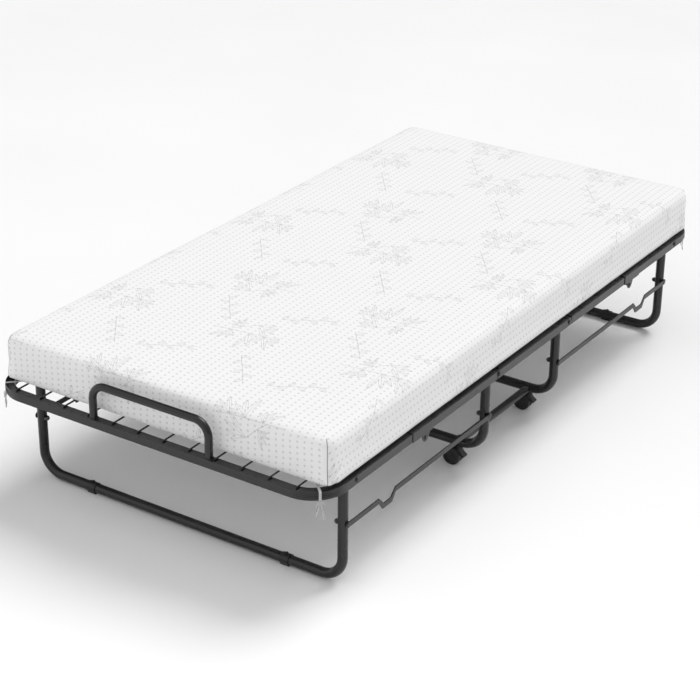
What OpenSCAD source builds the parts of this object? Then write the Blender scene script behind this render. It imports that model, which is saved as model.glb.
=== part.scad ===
// Folding cot: a rollaway bed frame that folds upwards at both ends, with its mattress.
// X is the width, Y the length with the handle end at -Y, Z is up from the floor.

/* [Frame] */
// Overall width over the side rails
frame_w = 1016; // [1000:1:1030]
// Overall length over the end rails
frame_l = 1980; // [1960:1:2000]
// Height of the top of the rails above the floor
rail_top = 312; // [306:1:318]
// Side of the square rail tube
rail_s = 22; // [21:0.5:23]
// Wall of the rail tube
rail_wall = 1.5; // [1.2:0.1:2]
// Outer radius of the rail corners
corner_r = 95; // [85:1:110]

/* [Legs] */
// Outside diameter of the leg tube
leg_d = 25.4; // [24:0.1:26]
// Wall of the leg tube
leg_wall = 1.5; // [1.2:0.1:2]
// Bend radius of a leg frame, at the middle of its tube
leg_bend = 60; // [50:1:70]
// Height of the middle of an end leg's floor bar
end_bar_z = 14.7; // [14.7:0.1:16]
// Height of the middle of a centre leg's bar
centre_bar_z = 70; // [69:0.5:74]
// Gap between a side rail and the legs, where the links swing
side_gap = 5; // [4.6:0.1:6]

/* [Fold] */
// From the middle of the cot to each fold pivot
fold_y = 190; // [185:1:195]
// From a fold pivot to its end leg's pivot
link_l = 660; // [650:1:670]
// From the pivots down to the link bolts
link_drop = 130; // [126:1:134]
// From a fold pivot to the locking peg
peg_y = 362; // [356:1:368]
// From the middle of the rail down to the locking peg
peg_drop = 23; // [22.5:0.1:23.2]
// Depth of the notch in a link
notch_h = 21.5; // [21.4:0.1:22.5]

/* [Links and bolts] */
// Thickness of a link
link_t = 3; // [2.5:0.1:3.2]
// Height of a link
link_h = 14; // [13:0.5:14]
// Radius of the bolts
bolt_r = 4; // [3.5:0.1:4]
// Running clearance of a bolt in a moving hole, on the radius
run = 0.05; // [0.02:0.01:0.1]

/* [Deck] */
// Diameter of the deck wires
wire_d = 4.5; // [4:0.1:5]
// Spacing of the long wires
wire_pitch = 77.5; // [76:0.5:79]
// Number of long wires
wire_count = 12; // [8:2:12]

/* [Handle] */
// Outside diameter of the handle tube
handle_d = 20; // [19:0.5:22]
// Width of the handle, between the middles of its feet
handle_w = 352; // [330:1:370]
// Height of the handle above the rail, to the middle of its tube
handle_h = 93; // [85:1:100]
// Bend radius of the handle
handle_bend = 40; // [35:1:45]

/* [Casters] */
// From the middle of the cot to each swivel axis, across the width
caster_x = 395; // [385:1:398]
// Diameter of the wheels
wheel_d = 50; // [48:0.5:50]
// How far the wheel trails its swivel axis
trail = 16; // [14:1:18]
// Direction in which the wheels trail at rest, from -Y towards -X
trail_turn = 90; // [0:5:180]
// Diameter of the tubes that join the two centre legs
tie_tube_d = 22; // [20:0.5:24]

/* [Mattress] */
// Width of the mattress
mattress_w = 990; // [970:1:990]
// Y of the front end of the mattress
mattress_front_y = -950; // [-955:1:-930]
// Y of the rear end of the mattress
mattress_rear_y = 967; // [960:1:975]
// Thickness of the mattress
mattress_t = 125; // [110:1:130]
// Radius of the mattress corners, seen from above
mattress_r = 35; // [25:1:45]

/* [Hidden] */
$fn = 48;
sides = [-1, 1];
rail_out = frame_w / 2;
rail_in = rail_out - rail_s;
rail_mid = rail_out - rail_s / 2;
end_y = frame_l / 2;
pivot_z = rail_top - rail_s / 2;
leg_r = leg_d / 2;
leg_x = rail_in - side_gap - leg_r;
leg_y = fold_y + link_l;
leg_top = pivot_z + 8;
link_z = pivot_z - link_drop;
link_x = rail_in - (side_gap - link_t) / 2 - link_t;
hole_r = bolt_r + run;

// The half rail ends just past the fold pivot, and the middle rail runs through it.
middle_end = fold_y + 9;
middle_end_r = 12.3;
half_end = fold_y + 13;
tongue_t = 6;
tongue_r = 9.5;
slot_t = tongue_t + 1;
slot_in = fold_y - tongue_r - 1.5;
plug_l = 30;

// At the end of the fold the link lies this far under the line of the pivots.
fold_max = 84.5;
notch_y = peg_y + link_drop * sin(fold_max);
notch_floor = 36;
notch_slope = notch_h;
peg_r = 3.5;
peg_tip = rail_in - side_gap + 0.6;
plate_t = 1.6;
bracket_near = peg_y - 31;
bracket_l = 89;
tab_r = 14;
tab_low = peg_drop + 10;

rod_d = 8;
cross_rod_z = rail_top - 4.5;
wire_z = rail_top + wire_d / 2;
cross_z = wire_z - wire_d - 0.05;
cross_ys = [fold_y + 190, fold_y + 380, fold_y + 570, end_y - corner_r - 5];
half_rod_y = fold_y + 25;
middle_rod_y = fold_y - 35;
wire_xs = [for (i = [0:wire_count - 1]) (i - (wire_count - 1) / 2) * wire_pitch];

mattress_z = wire_z + wire_d / 2 + 0.3;
fold_cut = fold_max / 2 + 1;

stem_r = 5;
socket_r = 9;
socket_low = 53.5;
stem_top = 66;
web_t = 5;
wheel_t = 11;
axle_r = 3;
axle_z = wheel_d / 2;
hood_half = web_t / 2 + wheel_t + 0.6;

clip_x = 305;
clip_l = 26;
clip_r = end_bar_z;

tape_w = 7;
tape_t = 1;
band_in = rail_s / 2 + 0.2;
tie_r = corner_r - rail_s / 2;
knot_x = band_in - 1;
knot_z = rail_top - rail_s - 4;
knot_low = 2.6;
// Each tail of a tie, from the knot: outwards, along the tape's width, up.
tail_a = [[0, -1.5, 0], [0, -1.5, -2], [1, -2, -6], [2, -4, -14], [2, -6, -22], [1, -7, -30],
    [2, -8, -38], [3, -9, -44]];
tail_b = [[0, 1.5, 0], [0, 1.5, -2], [1, 2, -6], [3, 4, -13], [4, 7, -21], [3, 9, -29], [4, 10, -36]];
tail_d = 2.5;

function end_word(s) = s < 0 ? "front" : "rear";
function side_word(s) = s < 0 ? "left" : "right";
function corner_name(part, sy, sx) = str(part, "_", end_word(sy), "_", side_word(sx));

corner_parts = ["lock_bracket", "foot_clip", "link", "caster_fork", "caster_wheels",
    "mattress_tie", "tie_tail_a", "tie_tail_b"];
end_parts = ["centre_leg", "end_leg", "end_leg_bolts", "end_leg_nuts", "rail", "deck_wires", "mattress"];
side_parts = ["caster_tube", "middle_rail"];
single_parts = ["middle_deck_wires", "centre_bolts", "centre_nuts", "handle_hoop", "mattress_middle"];

// ---- helpers ----

// Draws its children, built for the rear right quarter, in any quarter.
module quarter(sy, sx) {
    if (sy < 0 && sx < 0) mirror([0, 1, 0]) mirror([1, 0, 0]) children();
    if (sy < 0 && sx > 0) mirror([0, 1, 0]) children();
    if (sy > 0 && sx < 0) mirror([1, 0, 0]) children();
    if (sy > 0 && sx > 0) children();
}

module rod_x(x0, x1, y, z, r) {
    translate([x0, y, z]) rotate([0, 90, 0]) cylinder(r = r, h = x1 - x0);
}

module rod_y(y0, y1, x, z, r) {
    translate([x, y0, z]) rotate([-90, 0, 0]) cylinder(r = r, h = y1 - y0);
}

module rod_z(z0, z1, x, y, r) {
    translate([x, y, z0]) cylinder(r = r, h = z1 - z0);
}

module block(lo, hi) {
    translate(lo) cube(hi - lo);
}

// A solid bar bent to a U in the XZ plane: half width x, bar at z = 0, open end at z = h.
module u_bar(x, h, bend, r) {
    rod_x(-x + bend, x - bend, 0, 0, r);
    for (s = sides) {
        rod_z(bend, h, s * x, 0, r);
        translate([s * (x - bend), 0, bend])
            rotate([90, 0, 0])
                rotate([0, 0, s < 0 ? 180 : 270])
                    rotate_extrude(angle = 90) translate([bend, 0]) circle(r = r);
    }
}

module u_tube(x, h, bend, d, wall) {
    difference() {
        u_bar(x, h, bend, d / 2);
        u_bar(x, h - 2, bend, d / 2 - wall);
    }
}

module round_plate(x, y, r) {
    square([2 * x, 2 * (y - r)], center = true);
    square([2 * (x - r), 2 * y], center = true);
    for (sx = sides, sy = sides) translate([sx * (x - r), sy * (y - r)]) circle(r = r, $fn = 96);
}

// The rear half of the rail's outline, inset by a outside and by b inside.
module rail_band(a, b, from_y) {
    intersection() {
        difference() {
            round_plate(rail_out - a, end_y - a, corner_r - a);
            round_plate(rail_out - b, end_y - b, corner_r - b);
        }
        translate([-rail_out - 1, from_y]) square([frame_w + 2, end_y]);
    }
}

// ---- legs ----

module leg_holes(y) {
    for (z = [pivot_z, link_z]) rod_x(-rail_in, rail_in, y, z, hole_r);
}

module centre_leg(sy) {
    color("#242426") difference() {
        union() {
            translate([0, sy * fold_y, centre_bar_z])
                u_tube(leg_x, leg_top - centre_bar_z, leg_bend, leg_d, leg_wall);
            for (sx = sides) rod_z(socket_low, centre_bar_z, sx * caster_x, sy * fold_y, socket_r);
        }
        leg_holes(sy * fold_y);
        for (sx = sides) rod_z(socket_low - 1, stem_top + 2, sx * caster_x, sy * fold_y, stem_r + run);
    }
}

module end_leg(sy) {
    color("#242426") difference() {
        translate([0, sy * leg_y, end_bar_z])
            u_tube(leg_x, leg_top - end_bar_z, leg_bend, leg_d, leg_wall);
        leg_holes(sy * leg_y);
    }
}

module foot_clip(sy, sx) {
    color("#161617") translate([sx * clip_x, sy * leg_y, end_bar_z]) difference() {
        union() {
            rod_x(-clip_l / 2, clip_l / 2, 0, 0, clip_r);
            block([-clip_l / 2, -9, -clip_r], [clip_l / 2, 9, 0]);
            rod_z(0, clip_r + 2.5, 0, 0, 5);
        }
        rod_x(-clip_l, clip_l, 0, 0, leg_r);
    }
}

// ---- bolts ----

module bolt_head(x) {
    translate([x, 0, 0]) rotate([0, 90, 0]) cylinder(r1 = 7.5, r2 = 5.5, h = 3.5);
}

module pivot_bolt() {
    rod_x(leg_x - leg_r - 6, rail_out, 0, pivot_z, bolt_r);
    translate([0, 0, pivot_z]) bolt_head(rail_out);
}

module link_bolt() {
    rod_x(leg_x - leg_r - 6, link_x + link_t + 0.7, 0, link_z, bolt_r);
    rod_x(link_x + link_t + 0.1, link_x + link_t + 0.7, 0, link_z, 6.5);
}

module dome_nut(z) {
    x = leg_x - leg_r;
    difference() {
        translate([x, 0, z]) rotate([0, -90, 0]) {
            cylinder(r = 7.5, h = 5, $fn = 6);
            translate([0, 0, 5]) intersection() {
                sphere(r = 6);
                cylinder(r = 7, h = 7);
            }
        }
        rod_x(x - 6.1, x + 1, 0, z, bolt_r);
    }
}

module centre_bolts() {
    color("#1c1c1e") for (sy = sides, sx = sides) quarter(sy, sx) translate([0, fold_y, 0]) {
        pivot_bolt();
        link_bolt();
    }
}

module centre_nuts() {
    color("#6a6a6c") for (sy = sides, sx = sides) quarter(sy, sx) translate([0, fold_y, 0]) {
        dome_nut(pivot_z);
        dome_nut(link_z);
    }
}

module end_leg_bolts(sy) {
    color("#1c1c1e") for (sx = sides) quarter(sy, sx) translate([0, leg_y, 0]) {
        pivot_bolt();
        link_bolt();
        difference() {
            rod_x(leg_x + leg_r, rail_in - 0.2, 0, pivot_z, 8);
            rod_x(leg_x, rail_in, 0, pivot_z, bolt_r);
        }
    }
}

module end_leg_nuts(sy) {
    color("#6a6a6c") for (sx = sides) quarter(sy, sx) translate([0, leg_y, 0]) {
        dome_nut(pivot_z);
        dome_nut(link_z);
    }
}

// ---- links and locking brackets ----

module link(sy, sx) {
    half = link_h / 2;
    far = notch_floor / 2 + notch_slope;
    color("#242426") quarter(sy, sx) translate([link_x, fold_y, link_z]) difference() {
        union() {
            block([0, 0, -half], [link_t, notch_y - far, half]);
            block([0, notch_y + far, -half], [link_t, link_l, half]);
            for (y = [0, link_l]) rod_x(0, link_t, y, 0, half + 1.5);
            translate([0, notch_y, 0]) rotate([90, 0, 90]) linear_extrude(link_t) notch(half, far);
        }
        for (y = [0, link_l]) rod_x(-1, link_t + 1, y, 0, hole_r);
    }
}

// The notch outline: a strip that dips below the link and comes back.
module notch(half, far) {
    low = -notch_h;
    lean = half * tan(22.5);
    floor_y = notch_floor / 2;
    polygon([
        [-far, half], [-far + lean, half], [-floor_y + lean, low + half], [floor_y - lean, low + half],
        [far - lean, half], [far, half], [far, -half], [far - lean, -half], [floor_y + lean, low - half],
        [-floor_y - lean, low - half], [-far + lean, -half], [-far, -half]]);
}

module lock_bracket(sy, sx) {
    far = bracket_near + bracket_l;
    low = pivot_z - rail_s / 2;
    color("#242426") quarter(sy, sx) translate([0, fold_y, 0]) {
        block([rail_out - 16, bracket_near, rail_top], [rail_out + plate_t, far, rail_top + plate_t]);
        block([rail_out, bracket_near, low - plate_t], [rail_out + plate_t, far, rail_top]);
        block([rail_out - 16, bracket_near, low - plate_t], [rail_out, far, low]);
        hull() {
            rod_x(rail_out, rail_out + plate_t, peg_y, pivot_z - tab_low + tab_r, tab_r);
            rod_x(rail_out, rail_out + plate_t, peg_y, low, tab_r + 4);
        }
    }
    color("#1c1c1e") quarter(sy, sx) translate([0, fold_y, pivot_z - peg_drop]) {
        rod_x(peg_tip, rail_out + plate_t, peg_y, 0, peg_r);
        rod_x(rail_out + plate_t, rail_out + plate_t + 2.4, peg_y, 0, 5.5);
    }
}

// ---- rails and deck ----

module rail(sy) {
    low = pivot_z - rail_s / 2;
    color("#2a2a2c") quarter(sy, 1) difference() {
        union() {
            translate([0, 0, low]) linear_extrude(rail_s) rail_band(0, rail_s, half_end);
            for (sx = sides) rail_tongue(sx);
        }
        translate([0, 0, low + rail_wall]) linear_extrude(rail_s - 2 * rail_wall)
            rail_band(rail_wall, rail_s - rail_wall, half_end + plug_l);
        for (sx = sides) {
            rod_x(sx * rail_mid - rail_s, sx * rail_mid + rail_s, leg_y, pivot_z, hole_r);
            rod_x(sx * rail_mid - rail_s, sx * rail_mid + rail_s, fold_y, pivot_z, hole_r);
        }
    }
}

module rail_tongue(sx) {
    x0 = sx * rail_mid - tongue_t / 2;
    block([x0, fold_y, pivot_z - tongue_r], [x0 + tongue_t, half_end + 1, pivot_z + tongue_r]);
    rod_x(x0, x0 + tongue_t, fold_y, pivot_z, tongue_r);
}

module middle_rail(sx) {
    low = pivot_z - rail_s / 2;
    hollow = fold_y - 40;
    color("#2a2a2c") quarter(1, sx) difference() {
        union() {
            block([rail_in, -fold_y, low], [rail_out, fold_y, rail_top]);
            for (s = sides) {
                intersection() {
                    block([rail_in, -middle_end, low], [rail_out, middle_end, rail_top]);
                    rod_x(rail_in, rail_out, s * fold_y, pivot_z, middle_end_r);
                }
                translate([0, s * (fold_y - 15), 0])
                    block([leg_x, -9, low - 1], [rail_in, 9, leg_top - 1]);
            }
        }
        block([rail_in + rail_wall, -hollow, low + rail_wall],
            [rail_out - rail_wall, hollow, rail_top - rail_wall]);
        for (s = sides) {
            translate([rail_mid - slot_t / 2, s > 0 ? slot_in : -middle_end - 1, low + 1])
                cube([slot_t, middle_end + 1 - slot_in, rail_s]);
            rod_x(rail_in - 1, rail_out + 1, s * fold_y, pivot_z, hole_r);
            rod_z(0, rail_top, leg_x, s * fold_y, leg_r);
        }
    }
}

module deck_wires(sy) {
    color("#1e1e20") quarter(sy, 1) {
        rod_x(-rail_in, rail_in, half_rod_y, cross_rod_z, rod_d / 2);
        for (y = cross_ys) rod_x(-rail_in, rail_in, y, cross_z, wire_d / 2);
        for (x = wire_xs) {
            rod_y(half_rod_y - 6, end_y - rail_s / 2, x, wire_z, wire_d / 2);
            translate([x, end_y - rail_s / 2, wire_z]) sphere(r = wire_d / 2);
        }
    }
}

module middle_deck_wires() {
    color("#1e1e20") {
        for (s = sides) rod_x(-rail_in, rail_in, s * middle_rod_y, cross_rod_z, rod_d / 2);
        rod_x(-rail_in, rail_in, 0, cross_z, wire_d / 2);
        for (x = wire_xs) rod_y(-middle_rod_y - 5, middle_rod_y + 5, x, wire_z, wire_d / 2);
    }
}

module handle_hoop() {
    color("#2a2a2c") translate([0, -end_y + rail_s / 2, rail_top + handle_h]) mirror([0, 0, 1])
        difference() {
            u_bar(handle_w / 2, handle_h, handle_bend, handle_d / 2);
            u_bar(handle_w / 2, handle_h + 1, handle_bend, handle_d / 2 - 1.2);
        }
}

// ---- casters ----

module caster_tube(sx) {
    color("#2a2a2c") difference() {
        rod_y(-fold_y, fold_y, sx * caster_x, centre_bar_z, tie_tube_d / 2);
        rod_y(-fold_y, fold_y, sx * caster_x, centre_bar_z, tie_tube_d / 2 - 1.2);
        for (s = sides) {
            rod_x(-leg_x, leg_x, s * fold_y, centre_bar_z, leg_r);
            rod_z(socket_low - 1, centre_bar_z, sx * caster_x, s * fold_y, socket_r + 0.1);
        }
    }
}

// A caster's own frame: swivel axis at the origin, the wheel trailing towards -Y.
module at_caster(sy, sx) {
    translate([sx * caster_x, sy * fold_y, 0]) rotate([0, 0, -trail_turn]) children();
}

module caster_fork(sy, sx) {
    color("#141415") at_caster(sy, sx) difference() {
        union() {
            difference() {
                union() {
                    rod_z(42, stem_top, 0, 0, stem_r);
                    rod_z(38, socket_low - 0.5, 0, 0, 11);
                    caster_hood();
                    brake_pedal();
                }
                rod_x(-hood_half - 1, hood_half + 1, -trail, axle_z, wheel_d / 2 + 0.8);
            }
            hull() {
                rod_x(-web_t / 2, web_t / 2, -trail, axle_z, 16);
                rod_x(-web_t / 2, web_t / 2, -2, 44, 7);
            }
        }
        rod_x(-web_t, web_t, -trail, axle_z, axle_r + run);
    }
}

// A cover over the top of the two wheels, on the side of the swivel.
module caster_hood() {
    difference() {
        rod_x(-hood_half, hood_half, -trail, axle_z, wheel_d / 2 + 2.6);
        block([-hood_half - 1, -trail - 40, -10], [hood_half + 1, 60, axle_z + 8]);
        block([-hood_half - 1, -trail - 40, -10], [hood_half + 1, -trail - 12, 90]);
    }
}

// A foot pedal that stands out from the hood, over the swivel.
module brake_pedal() {
    half = hood_half - 4;
    rotate([90, 0, 90]) translate([0, 0, -half]) linear_extrude(2 * half)
        polygon([[6, 34], [6, 41], [11, 40], [21, 33], [21, 29.5], [11, 34]]);
}

module caster_wheels(sy, sx) {
    color("#2b2b2d") at_caster(sy, sx) {
        rod_x(-web_t / 2 - 2, web_t / 2 + 2, -trail, axle_z, axle_r);
        for (s = sides)
            translate([s * (web_t / 2 + 0.6 + wheel_t / 2), -trail, axle_z])
                rotate([0, s * 90, 0]) rotate_extrude() wheel_outline();
    }
}

// Half section of one wheel, its outer face up.
module wheel_outline() {
    r = wheel_d / 2;
    h = wheel_t / 2;
    difference() {
        union() {
            translate([0, -h]) square([r, wheel_t - 2]);
            translate([0, -h]) square([r - 2, wheel_t]);
            translate([r - 2, h - 2]) intersection() {
                circle(r = 2);
                square(2);
            }
        }
        translate([8, h - 2]) square([10, 3]);
    }
}

// ---- mattress ----

// Length section of a part of the mattress, as points of Y and Z above the fold pivots.
module mattress_solid(points) {
    intersection() {
        translate([-mattress_w / 2, 0, pivot_z]) rotate([90, 0, 90]) linear_extrude(mattress_w)
            polygon(points);
        translate([0, (mattress_front_y + mattress_rear_y) / 2, mattress_z]) linear_extrude(mattress_t)
            round_plate(mattress_w / 2, (mattress_rear_y - mattress_front_y) / 2, mattress_r);
    }
}

mattress_lo = mattress_z - pivot_z;
mattress_hi = mattress_lo + mattress_t;
cut_lo = mattress_lo * tan(fold_cut);
cut_hi = mattress_hi * tan(fold_cut);

module mattress(sy) {
    y = sy < 0 ? mattress_front_y : mattress_rear_y;
    color("#f1f1ef") mattress_solid([
        [y, mattress_lo], [sy * (fold_y + cut_lo), mattress_lo],
        [sy * (fold_y + cut_hi), mattress_hi], [y, mattress_hi]]);
}

module mattress_middle() {
    color("#f1f1ef") mattress_solid([
        [-fold_y + cut_lo, mattress_lo], [fold_y - cut_lo, mattress_lo],
        [fold_y - cut_hi, mattress_hi], [-fold_y + cut_hi, mattress_hi]]);
}

// ---- ties ----

// A tie's own frame: the middle of the rail at its corner, X outwards.
module at_corner(sy, sx) {
    quarter(sy, sx) translate([rail_out - corner_r, end_y - corner_r, 0]) rotate([0, 0, 45])
        translate([tie_r, 0, 0]) children();
}

module mattress_tie(sy, sx) {
    low = rail_top - rail_s;
    color("#e4e4e2") at_corner(sy, sx) {
        difference() {
            block([-band_in - tape_t, -tape_w / 2, low - 0.2 - tape_t],
                [band_in + tape_t, tape_w / 2, rail_top + 0.2 + tape_t]);
            block([-band_in, -tape_w, low - 0.2], [band_in, tape_w, rail_top + 0.2]);
        }
        block([-46, -tape_w / 2, rail_top + 0.2], [-band_in, tape_w / 2, rail_top + 0.2 + tape_t]);
        translate([knot_x, 0, knot_z]) intersection() {
            scale([0.8, 1, 0.8]) sphere(r = 4.5);
            block([-5, -5, -knot_low], [5, 5, 5]);
        }
    }
}

function ring(p, d, n) = let (a = cross(d, [0, 1, 0]), u = a / norm(a), v = cross(d, u) / norm(d))
    [for (i = [0:n - 1]) p + tail_d / 2 * (u * cos(360 * i / n) + v * sin(360 * i / n))];

// A round tube swept along a list of points.
module swept_tube(path, n = 8) {
    last = len(path) - 1;
    rings = [for (i = [0:last]) each ring(path[i], path[min(i + 1, last)] - path[max(i - 1, 0)], n)];
    sides_of = [for (i = [0:last - 1]) for (j = [0:n - 1])
        [i * n + j, i * n + (j + 1) % n, (i + 1) * n + (j + 1) % n, (i + 1) * n + j]];
    polyhedron(rings, concat(sides_of, [[for (j = [n - 1:-1:0]) j]], [[for (j = [0:n - 1]) last * n + j]]));
}

module tie_tail(sy, sx, path) {
    color("#e4e4e2") at_corner(sy, sx) translate([knot_x + 0.2, 0, knot_z - knot_low]) swept_tube(path);
}

// ---- the nodes ----

for (sy = sides, sx = sides) {
    lock_bracket(sy, sx);
    foot_clip(sy, sx);
    link(sy, sx);
    caster_fork(sy, sx);
    caster_wheels(sy, sx);
    mattress_tie(sy, sx);
    tie_tail(sy, sx, tail_a);
    tie_tail(sy, sx, tail_b);
}
for (s = sides) {
    centre_leg(s);
    end_leg(s);
    end_leg_bolts(s);
    end_leg_nuts(s);
    rail(s);
    deck_wires(s);
    mattress(s);
    caster_tube(s);
    middle_rail(s);
}
middle_deck_wires();
centre_bolts();
centre_nuts();
handle_hoop();
mattress_middle();
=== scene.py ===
import math

import bmesh
import bpy
import numpy as np
from mathutils import Matrix, Vector, noise


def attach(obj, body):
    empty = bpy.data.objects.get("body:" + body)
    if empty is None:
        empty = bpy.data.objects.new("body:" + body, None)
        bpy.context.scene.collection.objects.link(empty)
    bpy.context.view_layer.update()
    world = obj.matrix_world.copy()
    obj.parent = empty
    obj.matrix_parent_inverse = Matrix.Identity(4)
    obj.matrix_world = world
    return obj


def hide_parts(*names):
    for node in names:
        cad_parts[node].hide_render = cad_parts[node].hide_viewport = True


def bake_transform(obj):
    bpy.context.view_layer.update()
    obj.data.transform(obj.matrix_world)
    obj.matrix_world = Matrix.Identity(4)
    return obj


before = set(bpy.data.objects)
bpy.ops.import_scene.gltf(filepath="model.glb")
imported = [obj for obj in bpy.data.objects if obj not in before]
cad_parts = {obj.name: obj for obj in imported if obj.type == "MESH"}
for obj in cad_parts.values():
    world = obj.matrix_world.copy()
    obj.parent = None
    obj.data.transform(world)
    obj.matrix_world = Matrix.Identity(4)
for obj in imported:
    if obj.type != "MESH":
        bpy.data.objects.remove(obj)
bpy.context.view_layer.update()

# ---- camera: its place in metres, its angles in degrees, lens and sensor in millimetres ----
CAMERA_AT = (2.658, -4.138, 2.556)
CAMERA_TURN = 33.48
CAMERA_DOWN = 26.07
CAMERA_ROLL = 0.57
CAMERA_LENS = 100.65
SENSOR_WIDTH = 36

# ---- light: strengths, directions, the sun's width in degrees ----
# STARTS and FULL are cosines of the angle from the board's direction and from the right.
SKY = 0.96
BOARD_WAY = (-0.495, 0.750, 0.440)
BOARD_STARTS = 0.58
BOARD_FULL = 0.90
BOARD_LIGHT = 0.04
RIGHT_STARTS = 0.2
RIGHT_FULL = 0.9
RIGHT_LIGHT = 0.50
KEY = 1.80
KEY_FROM = (0.16, 0.62, 1.0)
KEY_WIDTH = 32
FLOOR_HALF = 14

# ---- the frame's two ends along Y and two sides along X ----
ENDS = {"front": -1, "rear": 1}
SIDES = {"left": -1, "right": 1}

# ---- sizes of the steel frame, in metres ----
RAIL_OUT = 0.508
RAIL_END = 0.990
RAIL_TOP = 0.312
RAIL_SIDE = 0.022
RAIL_MID_Z = RAIL_TOP - RAIL_SIDE / 2
CORNER_R = 0.095
CORNER_MID_R = CORNER_R - RAIL_SIDE / 2
FOLD_Y = 0.190
LEG_R = 0.0127
HANDLE_X = 0.176
HANDLE_R = 0.010
BAR_Z = 0.070
CASTER_X = 0.395
CASTER_TUBE_R = 0.011

# ---- ties, in metres. KNOT_X is measured outwards from the middle of the rail ----
TAPE_WIDTH = 0.0066
TAPE_RISE = 0.0007
BAND_THICK = 0.0009
BAND_BEND_R = 0.0025
STRAP_THICK = 0.0008
STRAP_START = -0.0455
STRAP_END = -0.009
KNOT_X = 0.0102
KNOT_Z = 0.286
KNOT_HALF_OUT = 0.0016
KNOT_HALF_ALONG = 0.0026
KNOT_SECTION = (0.0032, 0.0050)
BOW_SECTION = (0.0023, 0.0012)
BOW_DROPS = ((-1, 0.006), (1, 0.008))
TAIL_OUT = 0.0002
TAIL_TOP = 0.2834
TAIL_D = 0.0025

# ---- the tails' routes, in millimetres from the knot: outwards, along the rail, up ----
TAIL_A = [(0, -1.5, 0), (0, -1.5, -2), (1, -2, -6), (2, -4, -14), (2, -6, -22), (1, -7, -30),
          (2, -8, -38), (3, -9, -44)]
TAIL_B = [(0, 1.5, 0), (0, 1.5, -2), (1, 2, -6), (3, 4, -13), (4, 7, -21), (3, 9, -29), (4, 10, -36)]

# ---- mattress, in metres ----
MATTRESS_HALF_W = 0.495
MATTRESS_FRONT = -0.950
MATTRESS_REAR = 0.967
MATTRESS_LOW = 0.3168
MATTRESS_HIGH = 0.4418
MATTRESS_CORNER_R = 0.036
MATTRESS_EDGE_R = 0.026
MATTRESS_FOOT_R = 0.006
VOXEL = 0.010
UNEVEN = 0.0010
FLAT_BELOW = 0.0015
SIDE_BAND = 0.032
SEAM_THICK = 0.0020
SEAM_SUNK = 0.0003
SEAM_FROM_LOW = 0.004
SEAM_FROM_TOP = 0.008
SEAM_AIM = 0.02
SEAM_BACK_OFF = 0.1
SEAM_STEPS = 28

# ---- the cloth simulation: most that it may move, in metres, its steps and its strengths ----
SWELL = 0.004
CLOTH_STEPS = 20
CLOTH_PRESSURE = 4
CLOTH_TENSION = 25
CLOTH_BENDING = 4

# ---- the hollow under each fold and the spread lower edge, in metres ----
FOLD_REACH = 0.130
RELIEF = 0.0235
RELIEF_INSET = 0.006
RELIEF_EDGE = 0.035
RELIEF_HEIGHT = 0.07
FOOT_OUT = 0.005
FOOT_DOWN = 0.0045
FOOT_BAND = 0.035
FOOT_EASE = 0.028
FOOT_HEIGHT = 0.05

# ---- the cover's knit and drawings, in metres, with angles in degrees ----
REPEAT_U = 0.395
REPEAT_V = 0.620
WALE = 0.0016
COURSE = 0.0011
DOT_U = 0.0204
DOT_V = 0.0152
DOT_TURN = 12.5
DOT_ROW_SHIFT = -0.15
DOT_CORE = 0.0021
DOT_RIM = 0.0040
LINE = 0.0011
LEAF_L = 0.062
LEAF_HALF = 0.0056
LEAF_CURVE = 0.7
FAN_STEP = 23
FAN_SHORTER = -0.16
SPRAY_L = 0.150
SPRAY_LEAVES = 6
SPRAY_LEAF = 0.45
SPRAY_SLANT = 52

# ---- rubbed edges, welds and bends, in metres ----
EDGE_RADIUS = 0.0016
BEAD = 0.0018
BEAD_RIPPLE = 0.14
CREASE_HEIGHTS = (-0.0046, 0.0002, 0.0050)
CREASE_SECTION = (0.0032, 0.0028)
CREASE_STEPS = 40


# ---- camera, light and floor ----

def make_camera():
    """A camera fitted to the photo's straight edges."""
    data = bpy.data.cameras.new("camera")
    data.lens = CAMERA_LENS
    data.sensor_width = SENSOR_WIDTH
    camera = bpy.data.objects.new("camera", data)
    turn = Matrix.Rotation(math.radians(CAMERA_TURN), 4, "Z")
    down = Matrix.Rotation(math.radians(90 - CAMERA_DOWN), 4, "X")
    roll = Matrix.Rotation(math.radians(CAMERA_ROLL), 4, "Z")
    camera.matrix_world = Matrix.Translation(CAMERA_AT) @ turn @ down @ roll
    bpy.context.scene.collection.objects.link(camera)
    bpy.context.scene.camera = camera


def make_world():
    """A white surround with a dark board behind the cot, dimmer to the right, and white to the camera."""
    world = bpy.data.worlds.new("studio")
    world.use_nodes = True
    tree = world.node_tree
    sky = tree.nodes["Background"]
    sky.inputs["Color"].default_value = (1, 1, 1, 1)
    way = add(tree, "TexCoord").outputs["Generated"]
    to_board = dot_product(tree, way, BOARD_WAY)
    lit = spread(tree, to_board, (BOARD_STARTS, BOARD_FULL), (SKY, SKY * BOARD_LIGHT))
    to_right = dot_product(tree, way, (1, 0, 0))
    share = spread(tree, to_right, (RIGHT_STARTS, RIGHT_FULL), (1, RIGHT_LIGHT))
    dimmed = calc(tree, "MULTIPLY", lit, share)
    seen = add(tree, "LightPath").outputs["Is Camera Ray"]
    tree.links.new(calc(tree, "MAXIMUM", dimmed, seen), sky.inputs["Strength"])
    bpy.context.scene.world = world


def make_studio():
    """The surround and one soft sun."""
    bpy.context.scene.view_settings.view_transform = "Standard"
    make_world()
    data = bpy.data.lights.new("key", "SUN")
    data.energy = KEY
    data.angle = math.radians(KEY_WIDTH)
    key = bpy.data.objects.new("key", data)
    key.rotation_euler = (-Vector(KEY_FROM)).to_track_quat("-Z", "Y").to_euler()
    bpy.context.scene.collection.objects.link(key)


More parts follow.
